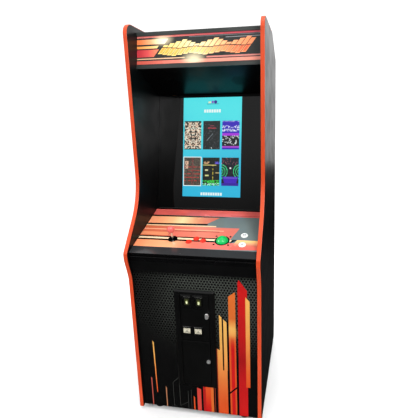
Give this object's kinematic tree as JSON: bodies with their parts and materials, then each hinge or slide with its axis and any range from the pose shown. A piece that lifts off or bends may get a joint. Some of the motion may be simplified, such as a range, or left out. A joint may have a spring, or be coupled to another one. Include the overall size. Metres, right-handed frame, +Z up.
{
  "type": "arcade cabinet",
  "caption": "Upright coin-operated arcade cabinet with a portrait screen, joystick, trackball, push buttons and a two-part coin door.",
  "frame": {"origin": "on the floor under the middle of the cabinet", "axes": "+Z up, -Y towards the player, +X to the player's right"},
  "size_m": [0.61, 0.716, 1.819],
  "materials": {
    "black_laminate": "black gloss laminate on board",
    "kick_artwork": "printed black, red and orange graphic under clear film",
    "control_panel_artwork": "printed red, orange and cream stripes under clear film",
    "t_moulding": "satin orange-red plastic edge moulding",
    "raw_wood": "planed softwood",
    "glass": "tempered glass with a black border",
    "lit_screen": "lit display",
    "black_plastic": "moulded, fine grain",
    "marquee_artwork": "printed acrylic",
    "black_metal": "black powder coat",
    "lamp": "white lamp tube and channel",
    "steel": "zinc plated",
    "circuit_board": "green solder mask",
    "cable": "black sheath",
    "black_rubber": "matt",
    "button_body": "moulded, red or white",
    "red_plastic": "polished",
    "white_plastic": "moulded",
    "chrome": "polished",
    "green_ball": "polished, lit from below",
    "black_bezel": "moulded",
    "lit_yellow": "translucent, lit from behind"
  },
  "bodies": {
    "cabinet": {"left_side_panel": "black_laminate", "right_side_panel": "black_laminate", "left_t_moulding": "t_moulding", "right_t_moulding": "t_moulding", "base_panel": "black_laminate", "front_kick_panel": "kick_artwork", "control_panel_apron": "black_laminate", "roof_panel": "black_laminate", "rear_slope_panel": "black_laminate", "back_panel": "black_laminate", "mounting_battens": "raw_wood", "monitor_glass": "glass", "monitor_screen": "lit_screen", "monitor_housing": "black_plastic", "marquee_panel": "marquee_artwork", "marquee_retainers": "black_metal", "marquee_lamp": "lamp", "speaker_panel": "black_laminate", "speakers": "black_metal", "coin_door_frame": "black_metal", "cash_box": "steel", "game_board": "circuit_board", "power_supply": "steel", "power_inlet": "black_plastic", "wiring_harness": "cable", "cabinet_screws": "steel", "levelling_feet": "black_rubber", "control_panel_hinge": "black_metal"},
    "control_panel": {"control_panel": "control_panel_artwork", "control_panel_hinge_leaf": "black_metal", "joystick_mount": "black_plastic", "joystick_dust_washer": "black_rubber", "button_housings": "button_body", "button_nuts": "button_body", "button_microswitches": "black_plastic", "trackball_housing": "black_plastic", "trackball_bolts": "steel"},
    "red_button_left": {"red_button_left": "red_plastic"},
    "red_button_middle": {"red_button_middle": "red_plastic"},
    "red_button_right": {"red_button_right": "red_plastic"},
    "start_button_one": {"start_button_one": "white_plastic"},
    "start_button_two": {"start_button_two": "white_plastic"},
    "joystick_gimbal": {"joystick_gimbal": "black_plastic"},
    "joystick": {"joystick_shaft": "chrome", "joystick_ball_top": "red_plastic"},
    "trackball": {"trackball": "green_ball"},
    "trackball_forward_roller": {"trackball_forward_roller": "steel"},
    "trackball_side_roller": {"trackball_side_roller": "steel"},
    "upper_coin_door": {"upper_coin_door": "black_metal", "coin_bezels": "black_bezel", "coin_mechanisms": "black_plastic"},
    "lower_coin_door": {"lower_coin_door": "black_metal"},
    "coin_reject_button_left": {"coin_reject_button_left": "lit_yellow"},
    "coin_reject_button_right": {"coin_reject_button_right": "lit_yellow"},
    "coin_return_flap_left": {"coin_return_flap_left": "white_plastic"},
    "coin_return_flap_right": {"coin_return_flap_right": "white_plastic"},
    "upper_coin_lock": {"upper_coin_lock": "chrome"},
    "lower_coin_lock": {"lower_coin_lock": "chrome"},
    "rear_door": {"rear_door": "black_laminate"},
    "rear_door_lock": {"rear_door_lock": "chrome"}
  },
  "joints": [
    {"name": "control_panel_hinge", "type": "hinge", "parent": "cabinet", "child": "control_panel", "pos_m": [0, -0.343, 0.821], "axis": [1, 0, 0], "range_deg": [0, 65]},
    {"name": "red_button_left_press", "type": "slide", "parent": "control_panel", "child": "red_button_left", "axis": [0, 0.3221, -0.9467], "range_m": [0, 0.003]},
    {"name": "red_button_middle_press", "type": "slide", "parent": "control_panel", "child": "red_button_middle", "axis": [0, 0.3221, -0.9467], "range_m": [0, 0.003]},
    {"name": "red_button_right_press", "type": "slide", "parent": "control_panel", "child": "red_button_right", "axis": [0, 0.3221, -0.9467], "range_m": [0, 0.003]},
    {"name": "start_button_one_press", "type": "slide", "parent": "control_panel", "child": "start_button_one", "axis": [0, 0.3221, -0.9467], "range_m": [0, 0.003]},
    {"name": "start_button_two_press", "type": "slide", "parent": "control_panel", "child": "start_button_two", "axis": [0, 0.3221, -0.9467], "range_m": [0, 0.003]},
    {"name": "joystick_sideways", "type": "hinge", "parent": "control_panel", "child": "joystick_gimbal", "pos_m": [-0.116, -0.23217, 0.84986], "axis": [0, 0.9467, 0.3221], "range_deg": [-8, 8]},
    {"name": "joystick_fore_aft", "type": "hinge", "parent": "joystick_gimbal", "child": "joystick", "pos_m": [-0.116, -0.23217, 0.84986], "axis": [1, 0, 0], "range_deg": [-8, 8]},
    {"name": "trackball_roll", "type": "hinge", "parent": "control_panel", "child": "trackball", "pos_m": [0.117, -0.23577, 0.86977], "axis": [1, 0, 0], "continuous": true},
    {"name": "trackball_forward_roller_spin", "type": "hinge", "parent": "control_panel", "child": "trackball_forward_roller", "pos_m": [0.117, -0.2044, 0.85759], "axis": [1, 0, 0], "continuous": true},
    {"name": "trackball_side_roller_spin", "type": "hinge", "parent": "control_panel", "child": "trackball_side_roller", "pos_m": [0.14278, -0.2288, 0.84929], "axis": [0, 0.9467, 0.3221], "continuous": true},
    {"name": "upper_coin_door_hinge", "type": "hinge", "parent": "cabinet", "child": "upper_coin_door", "pos_m": [-0.068, -0.3323, 0.535], "axis": [0, 0, -1], "range_deg": [0, 110]},
    {"name": "lower_coin_door_hinge", "type": "hinge", "parent": "cabinet", "child": "lower_coin_door", "pos_m": [-0.068, -0.3323, 0.3], "axis": [0, 0, -1], "range_deg": [0, 110]},
    {"name": "coin_reject_button_left_press", "type": "slide", "parent": "upper_coin_door", "child": "coin_reject_button_left", "axis": [0, 1, 0], "range_m": [0, 0.004]},
    {"name": "coin_reject_button_right_press", "type": "slide", "parent": "upper_coin_door", "child": "coin_reject_button_right", "axis": [0, 1, 0], "range_m": [0, 0.004]},
    {"name": "coin_return_flap_left_swing", "type": "hinge", "parent": "upper_coin_door", "child": "coin_return_flap_left", "pos_m": [-0.0375, -0.3314, 0.4795], "axis": [1, 0, 0], "range_deg": [0, 45]},
    {"name": "coin_return_flap_right_swing", "type": "hinge", "parent": "upper_coin_door", "child": "coin_return_flap_right", "pos_m": [0.016, -0.3314, 0.4795], "axis": [1, 0, 0], "range_deg": [0, 45]},
    {"name": "upper_coin_lock_turn", "type": "hinge", "parent": "upper_coin_door", "child": "upper_coin_lock", "pos_m": [0.059, -0.33, 0.549], "axis": [0, -1, 0], "range_deg": [0, 90]},
    {"name": "lower_coin_lock_turn", "type": "hinge", "parent": "lower_coin_door", "child": "lower_coin_lock", "pos_m": [0.059, -0.33, 0.313], "axis": [0, -1, 0], "range_deg": [0, 90]},
    {"name": "rear_door_hinge", "type": "hinge", "parent": "cabinet", "child": "rear_door", "pos_m": [0, 0.347, 0.367], "axis": [-1, 0, 0], "range_deg": [0, 75]},
    {"name": "rear_door_lock_turn", "type": "hinge", "parent": "rear_door", "child": "rear_door_lock", "pos_m": [0, 0.347, 1.228], "axis": [0, -1, 0], "range_deg": [0, 90]}
  ],
  "couplings": [
    {"joint": "trackball_forward_roller_spin", "follows": "trackball_roll", "ratio": -5.72}
  ]
}
